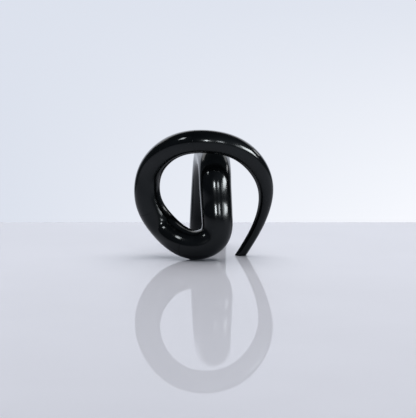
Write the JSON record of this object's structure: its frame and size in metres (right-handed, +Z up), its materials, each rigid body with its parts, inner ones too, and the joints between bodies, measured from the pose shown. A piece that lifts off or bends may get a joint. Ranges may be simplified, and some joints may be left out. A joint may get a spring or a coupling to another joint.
{
  "type": "twisty snake puzzle",
  "caption": "Free-standing twisty snake puzzle: a tapering glossy black tube in curved segments that swivel end on end, posed as an arch leading into an upright ring with its tail on the table.",
  "frame": {"origin": "middle of the flat underside of the base segment, on the table", "axes": "+Z up from the table, +X to the right and +Y away from a viewer who faces the ring"},
  "size_m": [0.125, 0.1428, 0.1177],
  "materials": {
    "lacquer": "polished black lacquer",
    "pin_steel": "turned bright steel",
    "spring_steel": "tempered spring steel",
    "brass": "turned brass"
  },
  "bodies": {
    "base": {"base_segment": "lacquer", "thread_insert_01": "brass", "swivel_pin_01": "pin_steel"},
    "rear_arch": {"rear_arch_segment": "lacquer", "socket_bush_01": "brass", "spring_washer_01": "spring_steel", "thread_insert_02": "brass", "swivel_pin_02": "pin_steel"},
    "front_arch": {"front_arch_segment": "lacquer", "socket_bush_02": "brass", "spring_washer_02": "spring_steel", "thread_insert_03": "brass", "swivel_pin_03": "pin_steel"},
    "bar": {"bar_segment": "lacquer", "socket_bush_03": "brass", "spring_washer_03": "spring_steel", "thread_insert_04": "brass", "swivel_pin_04": "pin_steel"},
    "hook": {"hook_segment": "lacquer", "socket_bush_04": "brass", "spring_washer_04": "spring_steel", "thread_insert_05": "brass", "swivel_pin_05": "pin_steel"},
    "lower_left": {"lower_left_segment": "lacquer", "socket_bush_05": "brass", "spring_washer_05": "spring_steel", "thread_insert_06": "brass", "swivel_pin_06": "pin_steel"},
    "left": {"left_segment": "lacquer", "socket_bush_06": "brass", "spring_washer_06": "spring_steel", "thread_insert_07": "brass", "swivel_pin_07": "pin_steel"},
    "upper_left": {"upper_left_segment": "lacquer", "socket_bush_07": "brass", "spring_washer_07": "spring_steel", "thread_insert_08": "brass", "swivel_pin_08": "pin_steel"},
    "top": {"top_segment": "lacquer", "socket_bush_08": "brass", "spring_washer_08": "spring_steel", "thread_insert_09": "brass", "swivel_pin_09": "pin_steel"},
    "right": {"right_segment": "lacquer", "socket_bush_09": "brass", "spring_washer_09": "spring_steel", "thread_insert_10": "brass", "swivel_pin_10": "pin_steel"},
    "tail": {"tail_segment": "lacquer", "socket_bush_10": "brass", "spring_washer_10": "spring_steel"}
  },
  "joints": [
    {"name": "swivel_01", "type": "hinge", "parent": "base", "child": "rear_arch", "pos_m": [0.0011, -0.00077, 0.04878], "axis": [0.0265, -0.1168, 0.9928], "continuous": true},
    {"name": "swivel_02", "type": "hinge", "parent": "rear_arch", "child": "front_arch", "pos_m": [0.00321, -0.02711, 0.08749], "axis": [0.0573, -0.918, 0.3924], "continuous": true},
    {"name": "swivel_03", "type": "hinge", "parent": "front_arch", "child": "bar", "pos_m": [0.0059, -0.07553, 0.08572], "axis": [0.0514, -0.961, -0.2717], "continuous": true},
    {"name": "swivel_04", "type": "hinge", "parent": "bar", "child": "hook", "pos_m": [0.00786, -0.09596, 0.05388], "axis": [0.0563, -0.0853, -0.9948], "range_deg": [-55, 35]},
    {"name": "swivel_05", "type": "hinge", "parent": "hook", "child": "lower_left", "pos_m": [-0.01816, -0.09264, 0.01427], "axis": [-0.8325, 0.498, 0.2428], "range_deg": [-60, 5]},
    {"name": "swivel_06", "type": "hinge", "parent": "lower_left", "child": "left", "pos_m": [-0.05027, -0.07563, 0.04331], "axis": [-0.4211, -0.1569, 0.8933], "range_deg": [-255, 10]},
    {"name": "swivel_07", "type": "hinge", "parent": "left", "child": "upper_left", "pos_m": [-0.04545, -0.08912, 0.08845], "axis": [0.4935, -0.5792, 0.6488], "continuous": true},
    {"name": "swivel_08", "type": "hinge", "parent": "upper_left", "child": "top", "pos_m": [-0.00982, -0.11313, 0.10721], "axis": [0.959, -0.273, 0.0761], "continuous": true},
    {"name": "swivel_09", "type": "hinge", "parent": "top", "child": "right", "pos_m": [0.03454, -0.10632, 0.09491], "axis": [0.6957, 0.4064, -0.5923], "continuous": true},
    {"name": "swivel_10", "type": "hinge", "parent": "right", "child": "tail", "pos_m": [0.05239, -0.08622, 0.05642], "axis": [-0.0252, 0.398, -0.917], "continuous": true}
  ]
}
